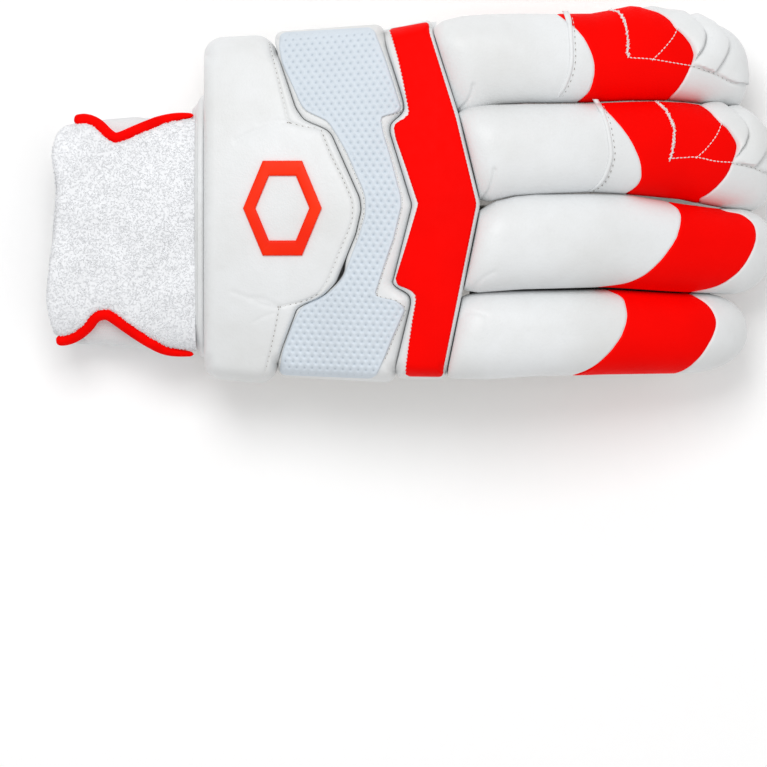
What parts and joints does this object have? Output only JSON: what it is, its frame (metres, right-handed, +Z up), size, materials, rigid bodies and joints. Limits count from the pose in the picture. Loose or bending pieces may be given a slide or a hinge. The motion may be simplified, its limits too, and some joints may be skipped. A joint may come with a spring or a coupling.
{
  "type": "cricket batting glove",
  "caption": "Right-hand cricket batting glove lying palm down, with padded finger rolls, jointed back pads and a piped terry cuff.",
  "frame": {"origin": "bottom centre of the bounding box, on the surface that the glove lies on", "axes": "+X from the cuff to the fingertips, +Y towards the index finger and thumb, +Z up"},
  "size_m": [0.308, 0.1554, 0.0851],
  "materials": {
    "white_leather": "satin coated leather, stitched",
    "mesh_panel": "perforated and dimpled coated leather",
    "red_panel": "smooth coated leather",
    "palm_leather": "soft matt leather",
    "lining": "smooth woven",
    "terry": "looped terry towelling",
    "piping": "smooth bound edge",
    "strap": "woven elastic band",
    "badge": "moulded, satin"
  },
  "bodies": {
    "root": {"wrist_pad": "white_leather", "mid_pad": "white_leather", "knuckle_band": "white_leather", "mid_pad_panel": "mesh_panel", "knuckle_band_panel": "red_panel", "wrist_pad_badge": "badge", "thumb_stall": "palm_leather", "thumb_roll": "white_leather", "thumb_tip_shield": "red_panel", "palm_panel": "palm_leather", "hand_back": "lining", "cuff_lining": "lining", "cuff_terry_back": "terry", "cuff_piping_index_side": "piping", "cuff_piping_little_side": "piping", "wrist_roll": "white_leather", "wrist_strap": "strap", "index_stall": "palm_leather", "index_roll_base": "white_leather", "index_roll_sleeve": "red_panel", "index_tip_shield_1": "white_leather", "index_tip_shield_2": "white_leather", "index_tip_shield_3": "white_leather", "index_welt": "white_leather", "middle_stall": "palm_leather", "middle_roll_base": "white_leather", "middle_roll_sleeve": "red_panel", "middle_tip_shield_1": "white_leather", "middle_tip_shield_2": "white_leather", "middle_tip_shield_3": "white_leather", "middle_welt": "white_leather", "ring_stall": "palm_leather", "ring_roll_base": "white_leather", "ring_roll_sleeve": "red_panel", "ring_roll_tip": "white_leather", "little_stall": "palm_leather", "little_roll_base": "white_leather", "little_roll_sleeve": "red_panel", "little_roll_tip": "white_leather"}
  },
  "joints": []
}
